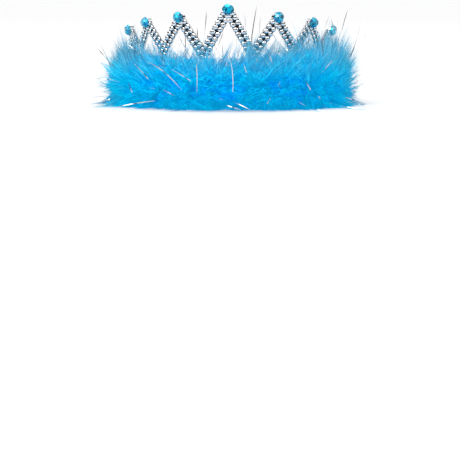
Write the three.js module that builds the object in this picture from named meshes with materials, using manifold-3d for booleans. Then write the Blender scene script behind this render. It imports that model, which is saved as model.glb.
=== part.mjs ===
// Feather tiara: a moulded silver band with seven pointed arches, a round cut gem on each tip and a
// marabou feather roll along its outside. Millimetres, +Z up, the front faces -Y.
// It rests on the roll's underside and on its two arm ends, and the origin is on that surface under
// the middle of its outline.
import * as THREE from 'three';
import Module from 'manifold-3d';

const wasm = await Module();
wasm.setup();
const { degToRad, lerp } = THREE.MathUtils;

// Plan of the wall: half an ellipse, then a short straight stretch to the end of each arm
const HALF_WIDTH = 75;
const DEPTH = 116;
const END_STRAIGHT = 6;
const PLAN_STEPS = 240;

// Wall and band
const WALL = 2;
const BAND_WALL = 1.6;
const FLARE = degToRad(6);
const BAND_STEPS = 56;
const UNDERSIDE_TRIM = 0.6;
const BAND_TOP = [
  { at: 0, height: 18 },
  { at: 17, height: 20 },
  { at: 50, height: 26 },
  { at: 83, height: 29 },
  { at: 100, height: 28 },
  { at: 117, height: 29 },
  { at: 128, height: 21 },
  { at: 140, height: 10 },
  { at: 149, height: 8 },
];
const TAB_HEIGHT = 8;
const TAB_TURNS = [15, 30, 45, 60, 72];
const END_HOLE = 3;
const DISC_SIDES = 12;

// Arches: where each tip stands along the wall, and how high its gem's middle is
const TIPS = [
  { at: 0, gem: 57.5 },
  { at: 33, gem: 53 },
  { at: 66.5, gem: 51.5 },
  { at: 100, gem: 48.5 },
];
// Feet: where the middle lines of two arms meet above the band
const FEET = [
  { at: 16.5, height: 25.6 },
  { at: 49.75, height: 30.5 },
  { at: 83.25, height: 32.8 },
  { at: 121, height: 19.8 },
];
const ARM_WIDTH = 7.5;
const STUD_COLUMNS = 2;
const STUD_PITCH = 3.9;
const STUD_RISE = 1;
const STUD_TABLE = 0.28;
const TIP_BELOW_GEM = 1.2;
const TIP_CUT_ABOVE_GEM = 2.8;
const MITRE_LAP = 0.4;
const CUT_STEPS = 10;

// Gems and the pads that carry them
const GEM = {
  diameter: 8,
  girdle: 0.7,
  height: 3.2,
  shoulder: 6.6,
  shoulderHeight: 2,
  table: 4.4,
  sides: 8,
};
const PAD_DIAMETER = 7.2;
const PAD_RISE = 0.3;
const GAP = 0.3;

// Feather roll, left end to right end: half its depth, half its height, and the height of its middle
// over the band's lower edge
const ROLL = [
  { at: -134, depth: 3.5, height: 4, middle: 5 },
  { at: -127, depth: 5.5, height: 8, middle: 5 },
  { at: -115, depth: 8, height: 13, middle: 4.5 },
  { at: -95, depth: 11.5, height: 17, middle: 3 },
  { at: -75, depth: 13.5, height: 18.5, middle: 2 },
  { at: -45, depth: 15.5, height: 18, middle: 1 },
  { at: -20, depth: 16, height: 17, middle: 0 },
  { at: 0, depth: 16, height: 16.5, middle: 0 },
  { at: 20, depth: 16.5, height: 17.5, middle: 0 },
  { at: 45, depth: 17, height: 20.5, middle: 1 },
  { at: 75, depth: 15, height: 22.5, middle: 2 },
  { at: 95, depth: 12, height: 20, middle: 3.5 },
  { at: 115, depth: 8.5, height: 14.5, middle: 5 },
  { at: 127, depth: 5.5, height: 9, middle: 5 },
  { at: 134, depth: 3.5, height: 4, middle: 5 },
];
const ROLL_SEAT = 1.2;
const ROLL_SEAT_TOP = 13;
const CORE_SCALE = 0.8;
const LOCKS_ALONG = 25;
const LOCKS_AROUND = 9;
const LOCK = { stray: 0.12, middle: 0.97, middleSize: 0.6, tip: 1.14, tipSpread: 0.1, lean: 0.5 };
const ROLL_BACK_REACH = 18;
const ROLL_SEED = 7;
const ROLL_SIDE_REACH = 88;

// At rest the roll holds the front of the band up, so the whole tiara leans back a little
const FRONT_RISE = 13;
const LEAN_BACK = Math.atan(FRONT_RISE / (DEPTH + END_STRAIGHT));

// Arc length along a quarter of the plan, in equal steps of angle from the front
const quarterArc = [0];
for (let step = 1; step <= PLAN_STEPS; step += 1) {
  const from = ellipsePoint((step - 1) / PLAN_STEPS * Math.PI / 2);
  const to = ellipsePoint(step / PLAN_STEPS * Math.PI / 2);
  quarterArc.push(quarterArc[step - 1] + from.distanceTo(to));
}
const QUARTER = quarterArc[PLAN_STEPS];
const WALL_END = QUARTER + END_STRAIGHT;

function ellipsePoint(angle) {
  return new THREE.Vector2(HALF_WIDTH * Math.sin(angle), -DEPTH * Math.cos(angle));
}

// Angle of the plan's ellipse at a distance along the wall from the front
function angleAt(along) {
  const step = Math.max(1, quarterArc.findIndex((length) => length >= along));
  const share = (along - quarterArc[step - 1]) / (quarterArc[step] - quarterArc[step - 1]);
  return (step - 1 + share) / PLAN_STEPS * Math.PI / 2;
}

// The wall's foot in plan, and its outward direction, at a distance along it from the front
function wallFoot(at) {
  const side = at < 0 ? -1 : 1;
  const along = Math.min(Math.abs(at), QUARTER);
  const angle = angleAt(along);
  const foot = ellipsePoint(angle);
  const outward = new THREE.Vector2(Math.sin(angle) / HALF_WIDTH, -Math.cos(angle) / DEPTH).normalize();
  foot.set(side * foot.x, foot.y + Math.abs(at) - along);
  outward.x *= side;
  return { foot, outward };
}

// A place on the flared wall: distance along, height up the wall, and distance out from its middle
function wallPoint(at, height, out) {
  const { foot, outward } = wallFoot(at);
  const spread = height * Math.sin(FLARE) + out * Math.cos(FLARE);
  return new THREE.Vector3(
    foot.x + outward.x * spread,
    foot.y + outward.y * spread,
    height * Math.cos(FLARE) - out * Math.sin(FLARE),
  );
}

// Value of a table's column at a place along the wall
function columnAt(table, column, at) {
  const next = table.findIndex((row) => row.at >= at);
  if (next === 0) return table[0][column];
  if (next < 0) return table[table.length - 1][column];
  const [low, high] = [table[next - 1], table[next]];
  return lerp(low[column], high[column], (at - low.at) / (high.at - low.at));
}

// A repeatable random number from 0 to 1 at each call
function randomFrom(seed) {
  let state = seed;
  return () => {
    state = (state * 1664525 + 1013904223) % 4294967296;
    return state / 4294967296;
  };
}

// A closed solid from its points and its outward faces, each a list of point numbers
function solid(points, faces) {
  const triVerts = [];
  for (const face of faces) {
    for (let corner = 2; corner < face.length; corner += 1) {
      triVerts.push(face[0], face[corner - 1], face[corner]);
    }
  }
  const vertProperties = new Float32Array(points.flatMap((point) => point.toArray()));
  const mesh = new wasm.Mesh({ numProp: 3, vertProperties, triVerts: new Uint32Array(triVerts) });
  return new wasm.Manifold(mesh);
}

function geometryOf(manifold) {
  const { vertProperties, triVerts } = manifold.getMesh();
  const geometry = new THREE.BufferGeometry();
  geometry.setAttribute('position', new THREE.BufferAttribute(new Float32Array(vertProperties), 3));
  geometry.setIndex(new THREE.BufferAttribute(new Uint32Array(triVerts), 1));
  geometry.computeVertexNormals();
  return geometry;
}

// A tube of equal rings of points, closed at both ends
function ringSolid(rings) {
  const sides = rings[0].length;
  const last = (rings.length - 1) * sides;
  const around = [...Array(sides).keys()];
  const faces = [around.toReversed(), around.map((corner) => last + corner)];
  for (let ring = 1; ring < rings.length; ring += 1) {
    for (const corner of around) {
      const low = (ring - 1) * sides;
      const next = (corner + 1) % sides;
      faces.push([low + corner, low + next, low + sides + next, low + sides + corner]);
    }
  }
  return solid(rings.flat(), faces);
}

// Equal steps along the wall between two places
function stepsAlong(from, to, steps) {
  return [...Array(steps + 1).keys()].map((step) => lerp(from, to, step / steps));
}

// A strip of the wall through a list of places, with its lower and upper edge worked out at each
function wallStrip(places, bottomAt, topAt, back, front) {
  return ringSolid(places.map((at) => {
    const [bottom, top] = [bottomAt(at), topAt(at)];
    return [
      wallPoint(at, bottom, back),
      wallPoint(at, top, back),
      wallPoint(at, top, front),
      wallPoint(at, bottom, front),
    ];
  }));
}

// A round plug through the wall, square to it
function wallDisc(at, height, diameter, back, front) {
  const ring = (out) => [...Array(DISC_SIDES).keys()].map((corner) => {
    const turn = corner / DISC_SIDES * Math.PI * 2;
    const radius = diameter / 2;
    return wallPoint(at + radius * Math.cos(turn), height + radius * Math.sin(turn), out);
  });
  return ringSolid([ring(back), ring(front)]);
}

// Band: plain strip whose ends are rounded tabs
function band() {
  const radius = TAB_HEIGHT / 2;
  const tabStart = WALL_END - radius;
  const halfHeight = (at) => radius * Math.sqrt(1 - (Math.max(0, Math.abs(at) - tabStart) / radius) ** 2);
  const onTab = (at) => Math.abs(at) > tabStart;
  const bottomAt = (at) => (onTab(at) ? radius - halfHeight(at) : -UNDERSIDE_TRIM);
  const stripTop = (at) => columnAt(BAND_TOP, 'height', Math.abs(at));
  const topAt = (at) => (onTab(at) ? radius + halfHeight(at) : stripTop(at));
  const tab = TAB_TURNS.map((turn) => tabStart + radius * Math.sin(degToRad(turn)));
  const places = [
    ...tab.map((at) => -at).toReversed(),
    ...stepsAlong(-tabStart, tabStart, BAND_STEPS),
    ...tab,
  ];
  return wallStrip(places, bottomAt, topAt, -BAND_WALL / 2, BAND_WALL / 2);
}

// One arm of an arch: a plain back, and rows of pointed studs on its front, cut to a mitre at both ends
function arm(foot, tip) {
  const length = Math.hypot(tip.at - foot.at, tip.height - foot.height);
  const [alongX, alongY] = [(tip.at - foot.at) / length, (tip.height - foot.height) / length];
  const lap = ARM_WIDTH / 2 * Math.abs(alongY / alongX) + MITRE_LAP;
  const rows = Math.round((length + 2 * lap) / STUD_PITCH);
  const place = (row, column, out) => {
    const along = lerp(-lap, length + lap, row / rows);
    const across = ARM_WIDTH * (0.5 - column / STUD_COLUMNS);
    return wallPoint(
      foot.at + along * alongX - across * alongY,
      foot.height + along * alongY + across * alongX,
      out,
    );
  };
  const points = [];
  const add = (point) => points.push(point) - 1;
  const front = [];
  const back = [];
  for (let row = 0; row <= rows; row += 1) {
    front.push([...Array(STUD_COLUMNS + 1).keys()].map((column) => add(place(row, column, WALL / 2))));
    back.push([0, STUD_COLUMNS].map((column) => add(place(row, column, -WALL / 2))));
  }
  const faces = [
    [back[0][0], ...front[0], back[0][1]].toReversed(),
    [back[rows][0], ...front[rows], back[rows][1]],
  ];
  for (let row = 0; row < rows; row += 1) {
    faces.push([back[row][0], back[row + 1][0], back[row + 1][1], back[row][1]]);
    faces.push([front[row][0], front[row + 1][0], back[row + 1][0], back[row][0]]);
    faces.push([back[row + 1][1], front[row + 1][STUD_COLUMNS], front[row][STUD_COLUMNS], back[row][1]]);
    for (let column = 0; column < STUD_COLUMNS; column += 1) {
      const corners = [front[row][column], front[row][column + 1]];
      corners.push(front[row + 1][column + 1], front[row + 1][column]);
      const table = [[0, -1], [1, 0], [0, 1], [-1, 0]].map(([across, along]) => add(place(
        row + 0.5 + STUD_TABLE * along,
        column + 0.5 + STUD_TABLE * across,
        WALL / 2 + STUD_RISE,
      )));
      corners.forEach((corner, index) => {
        faces.push([corner, corners[(index + 1) % 4], table[index]]);
        faces.push([corner, table[index], table[(index + 3) % 4]]);
      });
      faces.push(table);
    }
  }
  const side = Math.sign(tip.at - foot.at);
  const depth = WALL + STUD_RISE;
  const cutBox = (near, far, bottom, top) => wallStrip(
    stepsAlong(Math.min(near, far), Math.max(near, far), CUT_STEPS), () => bottom, () => top, -depth, depth,
  );
  const beyondTip = tip.at + side * MITRE_LAP;
  const beyondFoot = foot.at - side * MITRE_LAP;
  const tipCut = tip.height + TIP_BELOW_GEM + TIP_CUT_ABOVE_GEM;
  return solid(points, faces)
    .subtract(cutBox(beyondTip, beyondTip + side * length, 0, tip.height + length))
    .subtract(cutBox(beyondFoot, beyondFoot - side * length, -length, tip.height + length))
    .subtract(cutBox(tip.at - side * length, tip.at + side * length, tipCut, tipCut + length));
}

// Frame: band, arms and pads in one moulding, holed at its ends and flat underneath
function frame() {
  let moulding = band();
  for (const side of [-1, 1]) {
    const tips = TIPS.map((tip) => ({ at: side * tip.at, height: tip.gem - TIP_BELOW_GEM }));
    const feet = FEET.map((foot) => ({ at: side * foot.at, height: foot.height }));
    tips.forEach((tip, index) => {
      moulding = moulding.add(arm(feet[index], tip));
      if (index > 0) moulding = moulding.add(arm(feet[index - 1], tip));
    });
    const holeAt = side * (WALL_END - TAB_HEIGHT / 2);
    moulding = moulding.subtract(wallDisc(holeAt, TAB_HEIGHT / 2, END_HOLE, -WALL, WALL));
  }
  for (const { at, gem } of gemPlaces()) {
    const front = WALL / 2 + STUD_RISE + PAD_RISE;
    moulding = moulding.add(wallDisc(at, gem, PAD_DIAMETER, -WALL / 2 + GAP, front));
  }
  return moulding.intersect(roomAbove(0, 2 * DEPTH));
}

// Block from a level upwards, its sides at equal distances from the middle
function roomAbove(level, sideReach) {
  const corners = (z) => [[-1, -1], [1, -1], [1, 1], [-1, 1]].map(([x, y]) => (
    new THREE.Vector3(x * sideReach, 2 * y * DEPTH, z)
  ));
  return ringSolid([corners(level), corners(DEPTH)]);
}

// Gem places from the left end to the right end
function gemPlaces() {
  const right = TIPS.slice(1);
  const left = right.map(({ at, gem }) => ({ at: -at, gem })).toReversed();
  return [...left, TIPS[0], ...right];
}

// Gem: flat back, thin girdle, shoulder facets and a flat table
function gemGeometry() {
  const { sides } = GEM;
  const level = (diameter, z, count, offset) => [...Array(count).keys()].map((corner) => {
    const turn = (corner + offset) / count * Math.PI * 2;
    return new THREE.Vector3(diameter / 2 * Math.cos(turn), diameter / 2 * Math.sin(turn), z);
  });
  const points = [
    ...level(GEM.diameter, 0, 2 * sides, 0),
    ...level(GEM.diameter, GEM.girdle, 2 * sides, 0),
    ...level(GEM.shoulder, GEM.shoulderHeight, sides, 0),
    ...level(GEM.table, GEM.height, sides, 0.5),
  ];
  const rim = 2 * sides;
  const shoulder = 2 * rim;
  const table = shoulder + sides;
  const faces = [
    [...Array(rim).keys()].toReversed(),
    [...Array(sides).keys()].map((corner) => table + corner),
  ];
  for (let corner = 0; corner < rim; corner += 1) {
    const next = (corner + 1) % rim;
    faces.push([corner, next, rim + next, rim + corner]);
  }
  for (let corner = 0; corner < sides; corner += 1) {
    const next = (corner + 1) % sides;
    const [low, middle, high] = [2 * corner, 2 * corner + 1, (2 * corner + 2) % rim].map((at) => rim + at);
    faces.push([low, middle, shoulder + corner]);
    faces.push([middle, high, shoulder + next]);
    faces.push([shoulder + corner, middle, shoulder + next]);
    faces.push([shoulder + corner, shoulder + next, table + corner]);
    faces.push([table + corner, shoulder + next, table + next]);
  }
  return geometryOf(solid(points, faces));
}

// A place in the feather roll: along the wall, turned around its middle, at a share of its thickness
function rollPoint(at, turn, share) {
  const { foot, outward } = wallFoot(at);
  const depth = columnAt(ROLL, 'depth', at);
  const height = columnAt(ROLL, 'height', at);
  const out = depth * CORE_SCALE + ROLL_SEAT + depth * share * Math.cos(turn);
  const up = columnAt(ROLL, 'middle', at) + height * share * Math.sin(turn);
  return new THREE.Vector3(foot.x + outward.x * out, foot.y + outward.y * out, up);
}

// Feather roll: every cell of its core rises to one leaning lock. Its back keeps clear of the band
// and the studs, and its underside lies flat at the resting level
function featherRoll(restingLevel) {
  const random = randomFrom(ROLL_SEED);
  const swing = (size) => size * (2 * random() - 1);
  const [start, end] = [ROLL[0].at, ROLL[ROLL.length - 1].at];
  const points = [];
  const add = (ring, place, share) => {
    const at = lerp(start, end, ring / LOCKS_ALONG);
    return points.push(rollPoint(at, -place / LOCKS_AROUND * Math.PI * 2, share)) - 1;
  };
  const places = [...Array(LOCKS_AROUND).keys()];
  const rings = [...Array(LOCKS_ALONG + 1).keys()].map((ring) => {
    const stray = ring % LOCKS_ALONG === 0 ? 0 : LOCK.stray;
    return places.map((place) => add(ring + swing(stray), place + swing(stray), CORE_SCALE));
  });
  const faces = [rings[0].toReversed(), rings[LOCKS_ALONG]];
  for (let ring = 0; ring < LOCKS_ALONG; ring += 1) {
    for (const place of places) {
      const next = (place + 1) % LOCKS_AROUND;
      const root = [rings[ring][place], rings[ring][next], rings[ring + 1][next], rings[ring + 1][place]];
      const [alongLean, aroundLean] = [swing(LOCK.lean), swing(LOCK.lean)];
      const middle = [[-1, -1], [-1, 1], [1, 1], [1, -1]].map(([along, around]) => add(
        ring + (1 + LOCK.middleSize * along + alongLean) / 2,
        place + (1 + LOCK.middleSize * around + aroundLean) / 2,
        LOCK.middle,
      ));
      const tip = add(ring + 0.5 + alongLean, place + 0.5 + aroundLean, LOCK.tip + swing(LOCK.tipSpread));
      root.forEach((corner, index) => {
        const after = (index + 1) % 4;
        faces.push([corner, root[after], middle[after], middle[index]]);
        faces.push([middle[index], middle[after], tip]);
      });
    }
  }
  const behind = (bottom, top, front) => wallStrip(
    stepsAlong(-WALL_END, WALL_END, BAND_STEPS),
    () => bottom,
    () => top,
    -ROLL_BACK_REACH,
    front,
  );
  const lean = new THREE.Matrix4().makeRotationX(LEAN_BACK);
  const restingRoom = roomAbove(restingLevel, ROLL_SIDE_REACH).transform(lean.elements);
  return solid(points, faces)
    .subtract(behind(-DEPTH, ROLL_SEAT_TOP + GAP, BAND_WALL / 2 + GAP))
    .subtract(behind(ROLL_SEAT_TOP, DEPTH, WALL / 2 + STUD_RISE + GAP))
    .intersect(restingRoom);
}

// The lowest level of the leaning frame, where its two ends touch
function restingLevelOf(frameGeometry) {
  const leaning = frameGeometry.clone().rotateX(-LEAN_BACK);
  leaning.computeBoundingBox();
  return leaning.boundingBox.min.z;
}

function named(name, geometry, material) {
  const mesh = new THREE.Mesh(geometry, material);
  mesh.name = name;
  return mesh;
}

// Materials
const silver = new THREE.MeshStandardMaterial({ color: 0xd4d7da, metalness: 1, roughness: 0.15 });
const turquoise = new THREE.MeshStandardMaterial({ color: 0x0096b4, metalness: 0.1, roughness: 0.1 });
const marabou = new THREE.MeshStandardMaterial({ color: 0x00aeef, metalness: 0, roughness: 0.95 });

const tiara = new THREE.Group();
tiara.rotation.x = -LEAN_BACK;
const frameGeometry = geometryOf(frame());
tiara.add(named('tiara_frame', frameGeometry, silver));
gemPlaces().forEach(({ at, gem }, index) => {
  const stone = named(`gem_${index + 1}`, gemGeometry(), turquoise);
  const { outward } = wallFoot(at);
  stone.position.copy(wallPoint(at, gem, WALL / 2 + STUD_RISE + PAD_RISE + GAP));
  stone.rotation.set(Math.PI / 2 + FLARE, 0, Math.atan2(outward.x, -outward.y), 'ZXY');
  tiara.add(stone);
});
tiara.add(named('feather_boa', geometryOf(featherRoll(restingLevelOf(frameGeometry))), marabou));
const outline = new THREE.Box3().setFromObject(tiara, true);
tiara.position.set(0, -(outline.min.y + outline.max.y) / 2, -outline.min.z);

export default tiara;
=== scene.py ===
"""Dresses the feather tiara: bright silver frame with rows of moulded stones, turquoise tip gems,
turquoise marabou roll and silver tinsel strands."""
import math

import bmesh
import bpy
import numpy as np
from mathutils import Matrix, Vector

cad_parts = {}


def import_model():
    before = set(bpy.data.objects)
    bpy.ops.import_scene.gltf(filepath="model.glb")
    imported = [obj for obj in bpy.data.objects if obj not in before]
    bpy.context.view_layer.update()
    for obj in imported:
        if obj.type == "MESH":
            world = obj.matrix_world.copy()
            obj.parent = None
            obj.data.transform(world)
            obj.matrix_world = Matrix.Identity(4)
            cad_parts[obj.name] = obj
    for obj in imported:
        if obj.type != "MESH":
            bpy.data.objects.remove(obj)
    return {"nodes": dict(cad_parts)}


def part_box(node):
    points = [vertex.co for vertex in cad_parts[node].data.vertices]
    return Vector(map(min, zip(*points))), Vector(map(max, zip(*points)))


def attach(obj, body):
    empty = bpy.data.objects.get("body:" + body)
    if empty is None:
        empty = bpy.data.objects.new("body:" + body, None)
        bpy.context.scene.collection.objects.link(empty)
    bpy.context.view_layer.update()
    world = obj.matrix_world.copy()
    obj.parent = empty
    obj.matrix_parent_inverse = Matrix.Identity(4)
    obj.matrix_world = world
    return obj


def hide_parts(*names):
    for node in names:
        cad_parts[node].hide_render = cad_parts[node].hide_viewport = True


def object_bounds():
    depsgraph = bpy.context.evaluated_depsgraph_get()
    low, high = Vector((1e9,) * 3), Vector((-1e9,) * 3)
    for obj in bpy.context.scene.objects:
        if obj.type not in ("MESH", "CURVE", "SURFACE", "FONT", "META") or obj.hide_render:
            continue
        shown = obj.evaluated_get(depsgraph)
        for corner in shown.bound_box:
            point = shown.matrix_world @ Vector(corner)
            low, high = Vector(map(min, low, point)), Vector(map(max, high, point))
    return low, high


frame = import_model()
CAD_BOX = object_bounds()

# Sizes in millimetres, as in the frame's source
HALF_WIDTH = 75
DEPTH = 116
END_STRAIGHT = 6
FLARE = math.radians(6)
FRONT_RISE = 13
LEAN_BACK = math.atan(FRONT_RISE / (DEPTH + END_STRAIGHT))
WALL = 2
BAND_WALL = 1.6
BAND_TOP = [(0, 18), (17, 20), (50, 26), (83, 29), (100, 28), (117, 29), (128, 21), (140, 10), (149, 8)]
TAB_HEIGHT = 8
END_HOLE = 3
TIPS = [(0, 57.5), (33, 53), (66.5, 51.5), (100, 48.5)]
FEET = [(16.5, 25.6), (49.75, 30.5), (83.25, 32.8), (121, 19.8)]
ARM_WIDTH = 7.5
STUD_PITCH = 3.9
STUD_RISE = 1
TIP_BELOW_GEM = 1.2
TIP_CUT_ABOVE_GEM = 2.8
PAD_DIAMETER = 7.2
PAD_RISE = 0.3
GEM_HEIGHT = 3.2
GAP = 0.3
ROLL_AT = [-134, -127, -115, -95, -75, -45, -20, 0, 20, 45, 75, 95, 115, 127, 134]
ROLL_DEPTH = [3.5, 5.5, 8, 11.5, 13.5, 15.5, 16, 16, 16.5, 17, 15, 12, 8.5, 5.5, 3.5]
ROLL_HEIGHT = [4, 8, 13, 17, 18.5, 18, 17, 16.5, 17.5, 20.5, 22.5, 20, 14.5, 9, 4]
ROLL_MIDDLE = [5, 5, 4.5, 3, 2, 1, 0, 0, 0, 1, 2, 3.5, 5, 5, 5]
ROLL_SEAT = 1.2
CORE_SCALE = 0.8

# Plan of the wall: arc length against the angle of its ellipse
ANGLES = np.linspace(0, math.pi / 2, 721)
PLAN = np.stack([HALF_WIDTH * np.sin(ANGLES), -DEPTH * np.cos(ANGLES)], 1)
ARC = np.concatenate([[0], np.cumsum(np.linalg.norm(np.diff(PLAN, axis=0), axis=1))])
QUARTER = ARC[-1]
WALL_END = QUARTER + END_STRAIGHT


# The wall and the roll as surfaces
def plan_at(at):
    """Foot of the wall and its outward direction in plan, at distances along it from the front."""
    at = np.asarray(at, float)
    along = np.minimum(np.abs(at), QUARTER)
    angle = np.interp(along, ARC, ANGLES)
    side = np.where(at < 0, -1.0, 1.0)
    foot = np.stack([side * HALF_WIDTH * np.sin(angle), np.abs(at) - along - DEPTH * np.cos(angle)], -1)
    outward = np.stack([np.sin(angle) / HALF_WIDTH, -np.cos(angle) / DEPTH], -1)
    outward /= np.linalg.norm(outward, axis=-1, keepdims=True)
    outward[..., 0] *= side
    return foot, outward


def wall_points(at, height, out):
    """Places on the flared wall: along it, up it, and out from its middle."""
    foot, outward = plan_at(at)
    height, out = np.asarray(height, float), np.asarray(out, float)
    spread = height * math.sin(FLARE) + out * math.cos(FLARE)
    level = height * math.cos(FLARE) - out * math.sin(FLARE) + 0 * spread
    return np.concatenate([foot + outward * spread[..., None], level[..., None]], -1)


def leaned(points):
    """The band's own frame turned to the resting position, before it is moved there."""
    x, y, z = points[..., 0], points[..., 1], points[..., 2]
    c, s = math.cos(LEAN_BACK), math.sin(LEAN_BACK)
    return np.stack([x, y * c + z * s, z * c - y * s], -1)


GEM_SEAT = WALL / 2 + STUD_RISE + PAD_RISE + GAP
FRONT_GEM = leaned(wall_points(0, TIPS[0][1], GEM_SEAT + GEM_HEIGHT / 2))
REST_SHIFT = 500 * np.add(*[np.array(corner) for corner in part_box("gem_4")]) - FRONT_GEM


def at_rest(points):
    """Places in the row's frame, in metres."""
    return (leaned(points) + REST_SHIFT) / 1000


def roll_points(at, turn, share):
    """Places in the feather roll: along the wall, round its middle, at a share of its thickness."""
    foot, outward = plan_at(at)
    depth = np.interp(at, ROLL_AT, ROLL_DEPTH)
    height = np.interp(at, ROLL_AT, ROLL_HEIGHT)
    out = depth * CORE_SCALE + ROLL_SEAT + depth * share * np.cos(turn)
    level = np.interp(at, ROLL_AT, ROLL_MIDDLE) + height * share * np.sin(turn)
    return np.concatenate([foot + outward * out[..., None], level[..., None]], -1)


# Making objects
def piece(name, vertices, faces, material, smooth=False):
    """A mesh piece in the row's frame that rides on the body. Faces are one array of corner numbers."""
    mesh = bpy.data.meshes.new(name)
    mesh.from_pydata(np.asarray(vertices).tolist(), [], [list(face) for face in faces])
    return settled(name, mesh, material, smooth)


def settled(name, mesh, material, smooth):
    if smooth:
        mesh.shade_smooth()
    obj = bpy.data.objects.new(name, mesh)
    bpy.context.scene.collection.objects.link(obj)
    obj.data.materials.append(material)
    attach(obj, "root")
    return obj


def socket(material, name):
    return material.node_tree.nodes["Principled BSDF"].inputs[name]


def new_material(name, **values):
    """A Principled material. Underscores in a name stand for spaces in the socket's own."""
    material = bpy.data.materials.new(name)
    material.use_nodes = True
    for key, value in values.items():
        socket(material, key.replace("_", " ")).default_value = value
    return material


def node(material, kind, **settings):
    made = material.node_tree.nodes.new(kind)
    for key, value in settings.items():
        setattr(made, key, value)
    return made


BUMP_DETAIL = 4


def bumped(material, scale, distance):
    """Fine noise bump in object coordinates."""
    links = material.node_tree.links
    place = node(material, "ShaderNodeTexCoord")
    noise = node(material, "ShaderNodeTexNoise")
    noise.inputs["Scale"].default_value = scale
    noise.inputs["Detail"].default_value = BUMP_DETAIL
    bump = node(material, "ShaderNodeBump")
    bump.inputs["Distance"].default_value = distance
    links.new(place.outputs["Object"], noise.inputs["Vector"])
    links.new(noise.outputs["Fac"], bump.inputs["Height"])
    links.new(bump.outputs["Normal"], socket(material, "Normal"))


# Materials
# Ripples to a metre in the plating, and their height in metres
PLATING_RIPPLES = 900
PLATING_RIPPLE_HEIGHT = 0.00004
# Painted glow of the down, as a share of its colour: it gives off its own colour in place of the light that
# thin down passes on from strand to strand
DOWN_PAINTED_GLOW = 0.34
# Facets to a metre in the gems' foil backs, and how far each leans
FOIL_FACETS = 550
FOIL_TILT = 0.45


def silver_material():
    material = new_material("silver_plating", Metallic=1.0, Roughness=0.09,
                            Base_Color=(0.78, 0.8, 0.82, 1))
    bumped(material, PLATING_RIPPLES, PLATING_RIPPLE_HEIGHT)
    return material


def painted_shade_material():
    """Painted shade: a near-black plating for the plate between the moulded stones, where the plating looks
    dark in the shade of the gaps.
    """
    return new_material("silver_painted_shade", Metallic=1.0, Roughness=0.3, Base_Color=(0.03, 0.035, 0.04, 1))


def gem_material():
    """Foil-backed turquoise: small tilted facets show through a smooth clear front."""
    material = new_material("turquoise_gem", Metallic=0.85, Roughness=0.06, IOR=1.5,
                            Base_Color=(0.0, 0.42, 0.66, 1), Coat_Weight=1.0, Coat_Roughness=0.02)
    links = material.node_tree.links
    cells = node(material, "ShaderNodeTexVoronoi")
    cells.inputs["Scale"].default_value = FOIL_FACETS
    tilt = node(material, "ShaderNodeVectorMath", operation="MULTIPLY_ADD")
    tilt.inputs[1].default_value = [2 * FOIL_TILT] * 3
    offset = node(material, "ShaderNodeVectorMath", operation="SUBTRACT")
    offset.inputs[1].default_value = [FOIL_TILT] * 3
    place = node(material, "ShaderNodeTexCoord")
    shape = node(material, "ShaderNodeNewGeometry")
    straight = node(material, "ShaderNodeVectorMath", operation="NORMALIZE")
    links.new(place.outputs["Object"], cells.inputs["Vector"])
    links.new(cells.outputs["Color"], tilt.inputs[0])
    links.new(shape.outputs["Normal"], tilt.inputs[2])
    links.new(tilt.outputs[0], offset.inputs[0])
    links.new(offset.outputs[0], straight.inputs[0])
    links.new(straight.outputs[0], socket(material, "Normal"))
    return material


def down_material():
    """Marabou down, its colour from the strands' own tone, which it also gives off as a painted glow that
    lifts the shade between the strands.
    """
    material = new_material("marabou_down", Roughness=1.0, Specular_IOR_Level=0.0,
                            Emission_Strength=DOWN_PAINTED_GLOW)
    tone = node(material, "ShaderNodeVertexColor", layer_name="tone")
    for coloured in ("Base Color", "Emission Color"):
        material.node_tree.links.new(tone.outputs["Color"], socket(material, coloured))
    return material


def tinsel_material():
    return new_material("tinsel_foil", Metallic=1.0, Roughness=0.2, Base_Color=(0.62, 0.63, 0.65, 1))


# Silver frame
def mirrored(table):
    """A table of places along the right side, and the same places on the left."""
    return sorted({(sign * at, value) for at, value in table for sign in (-1, 1)})


def zigzag():
    """Middle line of the arms from left to right: foot, tip, foot and so on."""
    tips = [(at, gem - TIP_BELOW_GEM) for at, gem in mirrored(TIPS)]
    return sorted(tips + mirrored(FEET))


def slope_between(left, right):
    length = math.hypot(right[0] - left[0], right[1] - left[1])
    return (right[0] - left[0]) / length, (right[1] - left[1]) / length


PLATE_INSET = 0.35
PLATE_EASE = 0.35
BAND_EDGE_EASE = 0.3
BEND_STEP = 2.5
MERGE_DISTANCE = 0.001
TAB_TURN_STEP = 15
HOLE_TURN_STEP = 20


def zigzag_outline():
    """Edge of the arms' plate. Every corner is offset straight up or down by the arms' sloping width."""
    line = zigzag()
    half = ARM_WIDTH / 2 - PLATE_INSET
    upper, lower = [], []
    for index, (at, height) in enumerate(line):
        near = [slope_between(line[i], line[i + 1]) for i in (index - 1, index) if 0 <= i < len(line) - 1]
        offset = half / np.mean([along for along, _ in near])
        lower.append((at, height - offset))
        cut = height + TIP_BELOW_GEM + TIP_CUT_ABOVE_GEM
        if len(near) == 2 and near[0][1] > 0:
            run = (height + offset - cut) * np.mean([along / abs(rise) for along, rise in near])
            upper += [(at - run, cut), (at + run, cut)]
        else:
            upper.append((at, height + offset))
    return upper + lower[::-1]


def band_outlines():
    """Edge of the plain band with its rounded tabs, and its two end holes."""
    radius = TAB_HEIGHT / 2
    start = WALL_END - radius
    tops = [row for row in mirrored(BAND_TOP) if abs(row[0]) < start]
    turns = np.radians(np.arange(90, -91, -TAB_TURN_STEP))
    right = [(start + radius * math.cos(turn), radius + radius * math.sin(turn)) for turn in turns]
    left = [(-at, height) for at, height in right[::-1]]
    hole = np.radians(np.arange(0, 360, HOLE_TURN_STEP))
    holes = [[(side * start + END_HOLE / 2 * math.cos(turn), radius + END_HOLE / 2 * math.sin(turn))
              for turn in hole] for side in (-1, 1)]
    return [tops + right + left] + holes


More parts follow.
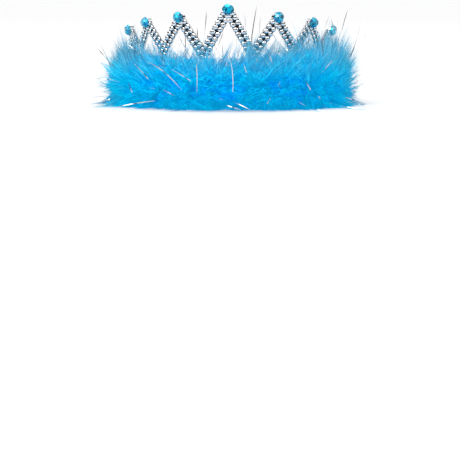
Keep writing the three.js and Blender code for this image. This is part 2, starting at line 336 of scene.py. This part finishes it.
def flat_plate(name, outlines, thickness, bevel):
    """A flat sheet with eased edges from its outlines, cut into steps that can bend round the wall."""
    curve = bpy.data.curves.new(name, "CURVE")
    curve.dimensions = "2D"
    curve.fill_mode = "BOTH"
    curve.extrude = thickness / 2 - bevel
    curve.bevel_depth = bevel
    curve.offset = -bevel
    curve.bevel_resolution = 1
    for outline in outlines:
        spline = curve.splines.new("POLY")
        spline.points.add(len(outline) - 1)
        spline.points.foreach_set("co", [value for x, y in outline for value in (x, y, 0, 1)])
        spline.use_cyclic_u = True
    holder = bpy.data.objects.new(name, curve)
    bpy.context.scene.collection.objects.link(holder)
    graph = bpy.context.evaluated_depsgraph_get()
    flat = bpy.data.meshes.new_from_object(holder.evaluated_get(graph))
    bpy.data.objects.remove(holder)
    shape = bmesh.new()
    shape.from_mesh(flat)
    bmesh.ops.remove_doubles(shape, verts=shape.verts, dist=MERGE_DISTANCE)
    for at in np.arange(-WALL_END, WALL_END, BEND_STEP):
        everything = [*shape.verts, *shape.edges, *shape.faces]
        bmesh.ops.bisect_plane(shape, geom=everything, plane_co=(at, 0, 0), plane_no=(1, 0, 0))
    bmesh.ops.triangulate(shape, faces=shape.faces)
    corners = np.array([vertex.co for vertex in shape.verts])
    faces = [[vertex.index for vertex in face.verts] for face in shape.faces]
    shape.free()
    return wall_points(corners[:, 0], corners[:, 1], corners[:, 2]), faces


STUD_SIDES = 8
# How far past its arm's foot and tip a stone's middle may lie, and how far under the tip's cut it stays
STUD_OVERRUN = 0.9
STUD_BELOW_CUT = 1.2
# Rings of a moulded stone from its foot to its table: radius, rise, and turn in steps of a side
STUD_RINGS = [(1.95, -0.3, 0), (1.9, 0.3, 0), (1.5, 0.75, 0.5), (1.0, 1.0, 0)]


def faceted_cap(rings, sides):
    """Local points (x, y, rise) and faces of a faceted stone."""
    points, faces = [], []
    for radius, rise, turn in rings:
        for corner in range(sides):
            angle = (corner + turn) / sides * 2 * math.pi
            points.append((radius * math.cos(angle), radius * math.sin(angle), rise))
    for ring in range(len(rings) - 1):
        shifted = rings[ring + 1][2] - rings[ring][2]
        low, high = ring * sides, (ring + 1) * sides
        for corner in range(sides):
            after = (corner + 1) % sides
            if shifted > 0:
                faces.append((low + corner, low + after, high + corner))
                faces.append((low + after, high + after, high + corner))
            else:
                faces.append((low + corner, low + after, high + after))
                faces.append((low + corner, high + after, high + corner))
    last = (len(rings) - 1) * sides
    faces.append(tuple(last + corner for corner in range(sides)))
    return np.array(points), faces


def stud_places():
    """Middle of every moulded stone along the wall and up it, with its arm's direction."""
    line = zigzag()
    places = []
    for left, right in zip(line, line[1:]):
        along = slope_between(left, right)
        length = math.hypot(right[0] - left[0], right[1] - left[1])
        lap = ARM_WIDTH / 2 * abs(along[1] / along[0])
        rows = round((length + 2 * lap) / STUD_PITCH)
        for row in range(rows):
            for across in (-ARM_WIDTH / 4, ARM_WIDTH / 4):
                run = -lap + (row + 0.5) / rows * (length + 2 * lap)
                at = left[0] + run * along[0] - across * along[1]
                height = left[1] + run * along[1] + across * along[0]
                tip = max(left[1], right[1]) + TIP_BELOW_GEM
                inside = left[0] - STUD_OVERRUN < at < right[0] + STUD_OVERRUN
                if inside and height < tip + TIP_CUT_ABOVE_GEM - STUD_BELOW_CUT:
                    places.append((at, height, along))
    return places


def studs():
    """All moulded stones as points on the wall and faces."""
    cap, cap_faces = faceted_cap(STUD_RINGS, STUD_SIDES)
    points, faces = [], []
    for at, height, (run, rise) in stud_places():
        first = len(points) * len(cap)
        points.append(wall_points(
            at + cap[:, 0] * run - cap[:, 1] * rise,
            height + cap[:, 0] * rise + cap[:, 1] * run,
            WALL / 2 + cap[:, 2] * STUD_RISE,
        ))
        faces += [tuple(first + corner for corner in face) for face in cap_faces]
    return np.concatenate(points), faces


PAD_SIDES = 32
SHARP_ANGLE = math.radians(28)
# A face counts as the arms' front if its outward share is more than this
FACING_OUT = 0.9


def pads():
    """Round pads behind the gems."""
    rings = [(PAD_DIAMETER / 2, -WALL / 2 + GAP, 0), (PAD_DIAMETER / 2, WALL / 2 + STUD_RISE + PAD_RISE, 0)]
    cap, cap_faces = faceted_cap(rings, PAD_SIDES)
    cap_faces = cap_faces + [tuple(range(PAD_SIDES))[::-1]]
    points, faces = [], []
    for at, gem in mirrored(TIPS):
        first = len(points) * len(cap)
        points.append(wall_points(at + cap[:, 0], gem + cap[:, 1], cap[:, 2]))
        faces += [tuple(first + corner for corner in face) for face in cap_faces]
    return np.concatenate(points), faces


def silver_frame(silver, painted_shade):
    """The whole frame as one piece, with painted shade on the front of the arms' plate and round the
    stones' feet, where the gaps between the stones lie in shade.
    """
    arm_points, arm_faces = flat_plate("arms", [zigzag_outline()], WALL, PLATE_EASE)
    stud_points, stud_faces = studs()
    per_stud = len(faceted_cap(STUD_RINGS, STUD_SIDES)[1])
    # Painted shade: the side walls round each stone's foot take the dark material
    feet = [index % per_stud < 2 * STUD_SIDES for index in range(len(stud_faces))]
    fronts = front_faces(arm_points, arm_faces)
    parts = [
        (*flat_plate("band", band_outlines(), BAND_WALL, BAND_EDGE_EASE), True, None),
        (arm_points, arm_faces, True, fronts),
        (stud_points, stud_faces, False, feet),
        (*pads(), False, None),
    ]
    points, faces, smooth, dark = [], [], [], []
    for part_points, part_faces, is_smooth, is_painted_shade in parts:
        first = sum(len(block) for block in points)
        points.append(at_rest(part_points))
        faces += [tuple(first + corner for corner in face) for face in part_faces]
        smooth += [is_smooth] * len(part_faces)
        dark += [int(value) for value in is_painted_shade] if is_painted_shade is not None else [0] * len(part_faces)
    obj = piece("silver_frame", np.concatenate(points), faces, silver)
    # The second material is the painted shade for the gaps between the stones
    obj.data.materials.append(painted_shade)
    obj.data.polygons.foreach_set("use_smooth", smooth)
    obj.data.polygons.foreach_set("material_index", dark)
    obj.data.set_sharp_from_angle(angle=SHARP_ANGLE)
    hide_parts("tiara_frame")


def front_faces(points, faces):
    """Which faces lie on the outward side of the wall's middle and face away from it."""
    corners = points[np.array(faces)]
    normals = np.cross(corners[:, 1] - corners[:, 0], corners[:, 2] - corners[:, 0])
    normals /= np.maximum(np.linalg.norm(normals, axis=1, keepdims=True), 1e-9)
    middles = corners.mean(1)
    outward = middles[:, :2] / [HALF_WIDTH ** 2, DEPTH ** 2]
    outward /= np.linalg.norm(outward, axis=1, keepdims=True)
    return (normals[:, :2] * outward).sum(1) > FACING_OUT


# Marabou roll, in millimetres and in shares of its thickness
FLOOR_EASE = 3
FLOOR_CLEAR = 0.4
BAND_EASE = 3
DOWN_SEED = 11
ROLL_PARTS = 6
BARB_TAPER = [0.7, 1.0, 0.7, 0.0]
# Tufts and the barbs of each. The tufts differ in reach, in lean and in tone
TUFTS = 2600
BARBS = 60
TUFT_REACH_SPREAD = 0.13
TUFT_LEAN_SPREAD = 3
TUFT_TONE_SPREAD = 0.07
BARB_TONE_SPREAD = 0.05
BARB_START = (0.25, 0.85)
BARB_LENGTH = (0.18, 0.42)
BARB_SAG = 5
BARB_WIDTH = (0.00013, 0.0003)
BARB_FARTHEST = 1.45
SPLAY_MOST = 1.1
# Clumps of wisps, how many of them point upwards, and how far a clump bends aside halfway along
CLUMPS = 1700
WISPS = 12
CLUMPS_UPWARD = 0.6
CLUMP_NEAREST = 1.2
CLUMP_FARTHEST = 2.4
CLUMP_LEAN_SPREAD = 5
CURL = 1.8
WISP_ROOT = 0.75
WISP_WIDTH = (0.00016, 0.00036)

# Linear colours of the down
# A deeper blue for the roll's inside: painted shade for the depths of the down
SHADE_BLUE = np.array([0.0, 0.34, 0.9])
BLUE = np.array([0.0, 0.55, 1.0])
CYAN = np.array([0.0, 0.75, 1.0])
TEAL = np.array([0.0, 0.52, 0.72])
PALE = np.array([0.2, 0.48, 0.6])
PALE_SHARE = 0.02
CYAN_BARBS = 0.3
# Places along the roll where the blue starts to turn to teal, and over how far
TEAL_FROM = 72
TEAL_OVER = 35


def eased(value, limit, ease):
    """Values near or under a limit flatten out just above it."""
    low = value < limit + ease
    flat = limit + ease * np.exp((np.minimum(value, limit + ease) - limit - ease) / ease)
    return np.where(low, flat, value)


def on_floor(points):
    """Points at rest, in metres, with none under the floor."""
    points = at_rest(points)
    points[..., 2] = eased(points[..., 2], FLOOR_CLEAR / 1000, FLOOR_EASE / 1000)
    return points


def before_band(points, at):
    """Band-frame points kept in front of the wall, as far up as the band is closed."""
    foot, outward = plan_at(at)
    out = ((points[..., :2] - foot) * outward).sum(-1)
    level = points[..., 2]
    tops = mirrored(BAND_TOP)
    closed = np.interp(at, [row[0] for row in tops], [row[1] for row in tops]) + 1
    face = level * math.sin(FLARE) + BAND_WALL / 2 + GAP
    kept = np.where(level < closed, eased(out, face, BAND_EASE), out)
    points = points.copy()
    points[..., :2] += outward * (kept - out)[..., None]
    return points


def placed(points, at, splay=0):
    """Band-frame points of the roll put before the band and on the floor. What would reach under the
    floor spreads outwards by a share of that depth."""
    outward = plan_at(at)[1]
    points = before_band(points, at)
    under = np.maximum(-1000 * at_rest(points)[..., 2], 0)
    points[..., :2] += outward * (splay * under)[..., None]
    return on_floor(points)


def unit(vectors):
    return vectors / np.maximum(np.linalg.norm(vectors, axis=-1, keepdims=True), 1e-9)


# How far soft parts may stand out of the solids' box: a share of each side, and metres more
REACH_SHARE = 0.025
REACH_EXTRA = 0.009


def within_reach(root, middle, tip):
    """Strands shortened along their own line where they would pass the reach of soft parts."""
    low, high = (np.array(corner) for corner in CAD_BOX)
    allowed = REACH_SHARE * (high - low) + REACH_EXTRA
    room = np.where(tip > root, high + allowed - root, root - low + allowed)
    share = np.minimum((room / np.maximum(np.abs(tip - root), 1e-6)).min(1), 1)[:, None]
    return root, root + share * (middle - root), root + share * (tip - root)


def ribbons(roots, middles, tips, widths, taper, twist=0):
    """Thin ribbons along curves through three points, as vertices by ribbon and triangles. Twist is how
    far each turns on itself from root to tip, in radians."""
    count, steps = len(roots), len(taper)
    share = np.linspace(0, 1, steps)[None, :, None]
    curve = ((1 - share) ** 2 * roots[:, None] + 2 * share * (1 - share) * middles[:, None]
             + share ** 2 * tips[:, None])
    heading = unit(tips - roots)
    flat = unit(np.cross(heading, widths[:, 1:]))
    across = np.cross(heading, flat)
    turned = flat[:, None] * np.cos(twist * share) + across[:, None] * np.sin(twist * share)
    edge = turned * (widths[:, :1] / 2)[:, None] * np.array(taper)[None, :, None]
    pairs = np.stack([curve - edge, curve + edge], 2)[:, :-1].reshape(count, -1, 3)
    vertices = np.concatenate([pairs, curve[:, -1:]], 1)
    per = vertices.shape[1]
    triangles = [(per - 3, per - 2, per - 1)]
    for low in range(0, per - 3, 2):
        triangles += [(low, low + 1, low + 3), (low, low + 3, low + 2)]
    faces = np.arange(count)[:, None, None] * per + np.array(triangles)[None]
    return vertices, faces.reshape(-1, 3)


def ribbon_piece(name, vertices, faces, material, tones=None, normals=None):
    """A piece from many ribbons, with a colour and a soft shading direction at each vertex."""
    mesh = bpy.data.meshes.new(name)
    mesh.vertices.add(vertices.size // 3)
    mesh.vertices.foreach_set("co", vertices.astype(np.float32).ravel())
    mesh.loops.add(faces.size)
    mesh.loops.foreach_set("vertex_index", faces.astype(np.int32).ravel())
    mesh.polygons.add(len(faces))
    mesh.polygons.foreach_set("loop_start", np.arange(0, faces.size, 3, dtype=np.int32))
    mesh.update(calc_edges=True)
    settled(name, mesh, material, True)
    if tones is not None:
        paint(mesh, tones.reshape(-1, 3))
    if normals is not None:
        mesh.normals_split_custom_set_from_vertices(normals.reshape(-1, 3))


def paint(mesh, colours):
    layer = mesh.color_attributes.new("tone", "FLOAT_COLOR", "POINT")
    rgba = np.concatenate([colours, np.ones((len(colours), 1))], 1)
    layer.data.foreach_set("color", rgba.astype(np.float32).ravel())


def reach_of(at, turn):
    """The roll stands fuller on its upper side, where its down climbs the arches' feet."""
    fuller = 0.36 + 0.22 * np.exp(-((at + 68) / 28) ** 2)
    return 1 + fuller * np.maximum(np.sin(turn), 0) ** 2


def sweep(at):
    """How far the down of a stretch leans along the roll, in millimetres."""
    return 4 * np.sin(at / 17 + 2) + 2.5 * np.sin(at / 6.3 + 1)


def barb_tones(at, share, strength, random, count):
    """Colours at the root and the tip of each barb: a deeper blue inside the roll, which is painted shade
    for its depths, and cyan and teal outside.
    """
    ends = np.clip((np.abs(at) - TEAL_FROM) / TEAL_OVER, 0, 1)[:, None]
    outer = BLUE * (1 - ends) + TEAL * ends
    cyan = (random.random(count) < CYAN_BARBS)[:, None]
    outer = np.where(cyan, 0.5 * (outer + CYAN), outer)
    # Painted shade: barbs that stay deep in the roll take the deeper blue
    shaded_inner = SHADE_BLUE * (1 - 0.5 * ends) + 0.5 * TEAL * ends
    depth = np.clip((share - 0.5) / 0.5, 0, 1)[:, None]
    root = shaded_inner * (1 - depth) + outer * depth
    tip = outer * (1 - PALE_SHARE * depth) + PALE_SHARE * PALE * depth
    return np.clip(np.stack([root, tip], 1) * (1 + strength[:, None, None]), 0, 1)


def turned_widths(random, limits, count):
    """A width in metres for each ribbon, and a direction that turns its flat side."""
    return np.concatenate([random.uniform(*limits, (count, 1)), random.normal(0, 1, (count, 3))], 1)


def down(random):
    """Every barb of the roll's tufts: where it starts, bends and ends, its width and its colours."""
    spread = (ROLL_AT[0] + 3, ROLL_AT[-1] - 3)
    tuft_at = random.uniform(*spread, TUFTS)
    tuft_turn = random.uniform(0, 2 * math.pi, TUFTS)
    tuft = np.stack([
        tuft_at,
        tuft_turn,
        random.normal(1.0, TUFT_REACH_SPREAD, TUFTS) * reach_of(tuft_at, tuft_turn),
        sweep(tuft_at) + random.normal(0, TUFT_LEAN_SPREAD, TUFTS),
        random.normal(0, TUFT_TONE_SPREAD, TUFTS),
    ])
    at, turn, reach, lean, tuft_tone = np.repeat(tuft, BARBS, axis=1)
    count = len(at)
    start = random.uniform(*BARB_START, count)
    length = random.uniform(*BARB_LENGTH, count) * (1.2 - 0.4 * start)
    end = start + length
    gather = np.clip((end - 0.8) / 0.35, 0, 1) * 0.65
    loose = (1 - gather) * random.normal(0, 1, (2, count))
    tip_at = at + lean * end + 3.6 * loose[0]
    tip_turn = turn + 0.25 * loose[1]
    root = roll_points(at + lean * start, turn, start * reach)
    tip = roll_points(tip_at, tip_turn, np.minimum(end * reach, BARB_FARTHEST))
    middle = 0.5 * (root + tip) + random.normal(0, 0.9, (count, 3))
    sag = BARB_SAG * length
    middle[:, 2] += 0.3 * sag
    tip[:, 2] -= 0.6 * sag
    widths = turned_widths(random, BARB_WIDTH, count)
    tones = barb_tones(at, end, tuft_tone + random.normal(0, BARB_TONE_SPREAD, count), random, count)
    splay = random.uniform(0, SPLAY_MOST, count)
    curve = within_reach(placed(root, at), placed(middle, at, 0.5 * splay), placed(tip, tip_at, splay))
    return at, *curve, widths, tones


def wisps(random):
    """Long pale barbs that stand out of the roll in small pointed clumps, most of them upwards."""
    upward = random.random(CLUMPS) < CLUMPS_UPWARD
    clump_at = random.uniform(ROLL_AT[0] + 2, ROLL_AT[-1] - 2, CLUMPS)
    clump_at[::3] = np.sign(clump_at[::3]) * random.uniform(60, ROLL_AT[-1] - 2, len(clump_at[::3]))
    clump_turn = np.where(upward, random.normal(1.4, 0.5, CLUMPS), random.uniform(-0.7, 3.6, CLUMPS))
    clump_end = np.minimum(CLUMP_NEAREST + random.gamma(2, 0.26, CLUMPS), CLUMP_FARTHEST)
    clump = np.stack([
        clump_at,
        clump_turn,
        clump_end * (0.7 + 0.3 * reach_of(clump_at, clump_turn)),
        sweep(clump_at) + random.normal(0, CLUMP_LEAN_SPREAD, CLUMPS),
        random.uniform(0.6, 1.1, CLUMPS),
    ])
    at, turn, end, lean, tone = np.repeat(clump, WISPS, axis=1)
    count = len(at)
    loose = random.normal(0, 1, (2, count))
    end = end * random.uniform(0.75, 1, count)
    root = roll_points(at + 0.7 * lean + 2.2 * loose[0], turn + 0.15 * loose[1], WISP_ROOT + 0 * end)
    tip = roll_points(at + lean * end + 0.7 * loose[0], turn + 0.05 * loose[1], end)
    curl = np.repeat(random.normal(0, CURL, (CLUMPS, 3)), WISPS, axis=0)
    middle = 0.5 * (root + tip) + curl + random.normal(0, 0.5, (count, 3))
    widths = turned_widths(random, WISP_WIDTH, count)
    edge = np.clip(np.maximum((turn - 0.4) / 0.6, (np.abs(at) - 65) / 35), 0, 1)[:, None]
    pale = edge * PALE * tone[:, None] + (1 - edge) * CYAN
    tones = np.stack([BLUE + 0 * pale, pale], 1)
    curve = within_reach(placed(root, at), placed(middle, at, 0.5), placed(tip, at, 1))
    return at, *curve, widths, tones


def soft_directions(vertices, at):
    """Outward directions from the roll's middle, so that the down shades as one soft body."""
    centre = at_rest(roll_points(at, 0 * at, 0 * at))[:, None]
    outward = unit(vertices - centre)
    outward[..., 2] += 0.25
    return unit(outward)


def down_piece(name, barbs, material):
    at, root, middle, tip, widths, tones = barbs
    vertices, faces = ribbons(root, middle, tip, widths, BARB_TAPER)
    steps = len(BARB_TAPER)
    share = np.append(np.repeat(np.arange(steps - 1) / (steps - 1), 2), 1)[None, :, None]
    colours = tones[:, :1] * (1 - share) + tones[:, 1:] * share
    directions = soft_directions(vertices, at)
    ribbon_piece(name, vertices, faces, material, colours, directions)


CORE_SHARE = 0.5
CORE_LUMPS = 0.04
CORE_RINGS = 160
CORE_SIDES = 36


def roll_core(material):
    """Dense middle of the roll, a lumpy tube closed at both ends, in the deeper blue that is painted shade
    seen through the gaps in the down.
    """
    random = np.random.default_rng(DOWN_SEED)
    at = np.linspace(ROLL_AT[0], ROLL_AT[-1], CORE_RINGS)[:, None]
    turn = np.linspace(0, 2 * math.pi, CORE_SIDES, endpoint=False)[None]
    share = CORE_SHARE + random.normal(0, CORE_LUMPS, (CORE_RINGS, CORE_SIDES))
    at, turn = np.broadcast_arrays(at, turn)
    points = placed(roll_points(at, turn, share), at).reshape(-1, 3)
    ring = np.arange(CORE_RINGS - 1)[:, None] * CORE_SIDES
    side = np.arange(CORE_SIDES)[None]
    after = (side + 1) % CORE_SIDES
    following = ring + CORE_SIDES
    quads = np.stack([ring + side, following + side, following + after, ring + after], -1)
    faces = [tuple(quad) for quad in quads.reshape(-1, 4)]
    faces.append(tuple(range(CORE_SIDES)))
    faces.append(tuple(range(len(points) - CORE_SIDES, len(points)))[::-1])
    obj = piece("marabou_core", points, faces, material, True)
    paint(obj.data, np.tile(SHADE_BLUE, (len(points), 1)))
    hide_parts("feather_boa")


def marabou():
    """The roll's down in equal stretches, its pale wisps and its core."""
    material = down_material()
    random = np.random.default_rng(DOWN_SEED)
    barbs = down(random)
    edges = np.linspace(ROLL_AT[0], ROLL_AT[-1], ROLL_PARTS + 1)
    for part, (low, high) in enumerate(zip(edges, edges[1:])):
        inside = (barbs[0] >= low) & (barbs[0] < high)
        down_piece(f"marabou_{part + 1}", [value[inside] for value in barbs], material)
    down_piece("marabou_wisps", wisps(random), material)
    roll_core(material)


# Tinsel
TINSEL_SEED = 5
TINSEL_WIDTH = 0.6
TINSEL_TAPER = [1, 1, 1, 1, 1, 1, 0.6]
TINSEL_TWIST = 2.5
# Share of the roll's thickness where a strand leaves the down, and how steeply it rises from it at least
TINSEL_ROOT = 1.08
TINSEL_LIFT = 0.22
# Strands seen from the front: place across the tiara in millimetres and up the roll as a share of its
# half height, and how far each runs to the right and up in millimetres
TINSEL = [
    (-21, -0.3, 0, 28), (4, -0.1, -4, 31), (16, -0.05, -5, 20), (-3, 1, -13, 22), (-31, 0, -26, 22),
    (-37, -0.2, -17, 6), (-24, 0.3, -21, 13), (-67, -0.1, -5, 14), (-51, -0.4, -31, -5), (-78, 0.3, -20, 3),
    (-76, -0.2, -22, 0), (-86, 0.6, -13, 30), (-88, -0.3, -9, -10), (-5, -0.35, 21, -7), (-5, -0.5, 15, -5),
    (84, -0.3, 13, -10), (83, -0.2, 15, -9), (72, -0.4, 15, -12), (50, -0.4, 14, -12), (63, -0.2, 4, -8),
    (82, 0.8, 8, 42), (86, 0.7, 12, 38), (86, 0.5, 16, 34), (74, 0.9, 4, 34), (-25, 1, 5, 40),
    (-27, 1, 0, 28), (-38, 1, -2, 36), (16, 1, -1, 38), (18, 1, 6, 44), (25, 1, 3, 36), (49, 1, -9, 22),
    (-50, 0.9, -5, 18),
    (-84, 0, -12, 4), (-35, -0.8, -6, -12), (57, 0, -12, 18), (36, 0.1, -8, 24), (-12, 0.9, 8, 26),
    (28, -0.5, 9, 16), (-56, 0.4, -14, 16), (-40, 0.5, 9, 26), (66, 0.5, 12, 14), (5, 1, 4, 30),
    (-66, 0.9, -6, 20),
]
LOOSE_TINSEL = 22
LOOSE_LENGTH = (20, 36)
# Along the roll its front is seen no farther than this to either side
FRONT_REACH = 95
# How far a strand's middle rises and its tip drops, and how far it bends at random, for its length
TINSEL_BOW = 0.05
TINSEL_BEND = 0.05


def seen_tinsel():
    """Root and heading of the strands seen from the front, their headings kept clear of the down."""
    across, level, right, up = np.array(TINSEL, float).T
    steps = np.linspace(-FRONT_REACH, FRONT_REACH, 4 * FRONT_REACH + 1)
    at = np.interp(across, roll_points(steps, 0 * steps, 0 * steps + 1)[:, 0], steps)
    turn = np.arcsin(level)
    heading = np.stack([right, 0 * right, up], 1)
    length = np.linalg.norm(heading, axis=1)
    radial = outward_of(at, turn)
    short = np.maximum(TINSEL_LIFT * length - (heading * radial).sum(1), 0)
    heading[:, 1] -= short / np.maximum(-radial[:, 1], 0.4)
    return at, turn, heading


def loose_tinsel(random):
    """Root and heading of the strands on the sides that the photograph doesn't show."""
    at = random.uniform(ROLL_AT[0] + 4, ROLL_AT[-1] - 4, LOOSE_TINSEL)
    turn = np.radians(random.uniform(50, 150, LOOSE_TINSEL))
    heading = unit(outward_of(at, turn) + random.normal(0, 0.5, (LOOSE_TINSEL, 3)))
    return at, turn, heading * random.uniform(*LOOSE_LENGTH, (LOOSE_TINSEL, 1))


def outward_of(at, turn):
    """Unit directions straight out of the roll's surface."""
    full = np.ones(len(at))
    return unit(roll_points(at, turn, full) - roll_points(at, turn, full / 2))


def tinsel(material):
    """Flat foil strands that stand out of the down and bend a little under their own weight."""
    random = np.random.default_rng(TINSEL_SEED)
    at, turn, span = (np.concatenate(pair) for pair in zip(seen_tinsel(), loose_tinsel(random)))
    count = len(at)
    length = np.linalg.norm(span, axis=1)
    root = roll_points(at, turn, np.full(count, TINSEL_ROOT))
    middle = root + 0.5 * span + random.normal(0, TINSEL_BEND, (count, 3)) * length[:, None]
    tip = root + span
    middle[:, 2] += TINSEL_BOW * length
    tip[:, 2] -= TINSEL_BOW * length
    turns = random.normal(0, 1, (count, 3))
    widths = np.concatenate([np.full((count, 1), TINSEL_WIDTH / 1000), turns], 1)
    root, middle, tip = within_reach(placed(root, at), placed(middle, at, 0.5), placed(tip, at, 1))
    vertices, faces = ribbons(root, middle, tip, widths, TINSEL_TAPER, TINSEL_TWIST)
    ribbon_piece("tinsel", vertices, faces, material)


# Stage
def area_light(name, place, target, size, power):
    lamp = bpy.data.lights.new(name, "AREA")
    lamp.shape = "RECTANGLE"
    lamp.size, lamp.size_y = size
    lamp.energy = power
    obj = bpy.data.objects.new(name, lamp)
    obj.location = place
    obj.rotation_euler = (Vector(target) - Vector(place)).to_track_quat("-Z", "Y").to_euler()
    bpy.context.scene.collection.objects.link(obj)


# The floor in metres: it ends just behind the camera
FLOOR_SIZE = 6
FLOOR_FRONT = -1.45


def stage():
    size, front = FLOOR_SIZE, FLOOR_FRONT
    mesh = bpy.data.meshes.new("floor")
    corners = [(-size, front, 0), (size, front, 0), (size, size, 0), (-size, size, 0)]
    mesh.from_pydata(corners, [], [(0, 1, 2, 3)])
    floor = bpy.data.objects.new("floor", mesh)
    bpy.context.scene.collection.objects.link(floor)
    mesh.materials.append(new_material("pale_floor", Roughness=1.0, Specular_IOR_Level=0.0,
                                       Base_Color=(0.4, 0.4, 0.4, 1), Emission_Color=(1, 1, 1, 1),
                                       Emission_Strength=0.48))
    even = bpy.data.lights.new("even", "SUN")
    even.energy = 1.9
    even.angle = math.radians(60)
    sun = bpy.data.objects.new("even", even)
    sun.rotation_euler = (math.radians(28), math.radians(-18), 0)
    bpy.context.scene.collection.objects.link(sun)
    area_light("key", (-0.9, -1.3, 1.5), (0, 0, 0.03), (0.5, 0.5), 10)
    area_light("fill", (1.4, -0.9, 0.9), (0, 0, 0.03), (0.3, 0.6), 5)
    area_light("back", (0.3, 1.5, 1.2), (0, 0, 0.03), (1.2, 0.4), 5)


# Brightness of what shiny parts reflect: height from straight down to straight up, and value
WORLD_BANDS = [
    (0.0, 0.4), (0.4, 0.4), (0.44, 0.08), (0.54, 0.02), (0.66, 0.03), (0.7, 1.0), (0.86, 1.0), (1.0, 0.4),
]


def world():
    """Pale to the camera, and banded light and dark to everything that reflects it."""
    made = bpy.data.worlds.new("studio")
    bpy.context.scene.world = made
    made.use_nodes = True
    tree = made.node_tree
    tree.nodes.clear()
    place = tree.nodes.new("ShaderNodeTexCoord")
    split = tree.nodes.new("ShaderNodeSeparateXYZ")
    ramp = tree.nodes.new("ShaderNodeValToRGB")
    for index, (position, value) in enumerate(WORLD_BANDS):
        stop = ramp.color_ramp.elements[index] if index < 2 else ramp.color_ramp.elements.new(position)
        stop.position = position
        stop.color = (value, value, value * 1.02, 1)
    half = tree.nodes.new("ShaderNodeMapRange")
    half.inputs["From Min"].default_value = -1
    path = tree.nodes.new("ShaderNodeLightPath")
    lit = tree.nodes.new("ShaderNodeBackground")
    seen = tree.nodes.new("ShaderNodeBackground")
    seen.inputs["Color"].default_value = (0.96, 0.96, 0.96, 1)
    mix = tree.nodes.new("ShaderNodeMixShader")
    out = tree.nodes.new("ShaderNodeOutputWorld")
    tree.links.new(place.outputs["Generated"], split.inputs[0])
    tree.links.new(split.outputs["Z"], half.inputs["Value"])
    tree.links.new(half.outputs[0], ramp.inputs["Fac"])
    tree.links.new(ramp.outputs["Color"], lit.inputs["Color"])
    tree.links.new(path.outputs["Is Camera Ray"], mix.inputs["Fac"])
    tree.links.new(lit.outputs[0], mix.inputs[1])
    tree.links.new(seen.outputs[0], mix.inputs[2])
    tree.links.new(mix.outputs[0], out.inputs["Surface"])
    bpy.context.scene.view_settings.view_transform = "Standard"


# Camera, in metres: it looks at a place under the tiara, which stands high in the photograph's frame
VIEW_MIDDLE = (0.001, -0.03, 0.037)
VIEW_DISTANCE = 1.365
VIEW_AZIMUTH = math.radians(1.4)
VIEW_ELEVATION = math.radians(2.5)
LENS = 150
AIM_DROP = 0.1245


def camera():
    middle = Vector(VIEW_MIDDLE)
    made = bpy.data.objects.new("camera", bpy.data.cameras.new("camera"))
    made.data.lens = LENS
    made.data.sensor_width = 36
    toward = Vector((math.sin(VIEW_AZIMUTH), -math.cos(VIEW_AZIMUTH), math.tan(VIEW_ELEVATION)))
    toward.normalize()
    made.location = middle + VIEW_DISTANCE * toward
    aim = middle + Vector((0, 0, -AIM_DROP))
    made.rotation_euler = (aim - made.location).to_track_quat("-Z", "Y").to_euler()
    bpy.context.scene.collection.objects.link(made)
    bpy.context.scene.camera = made


camera()
world()
stage()
silver_frame(silver_material(), painted_shade_material())
gems = gem_material()
for number in range(1, 8):
    frame["nodes"][f"gem_{number}"].data.materials.clear()
    frame["nodes"][f"gem_{number}"].data.materials.append(gems)
marabou()
tinsel(tinsel_material())
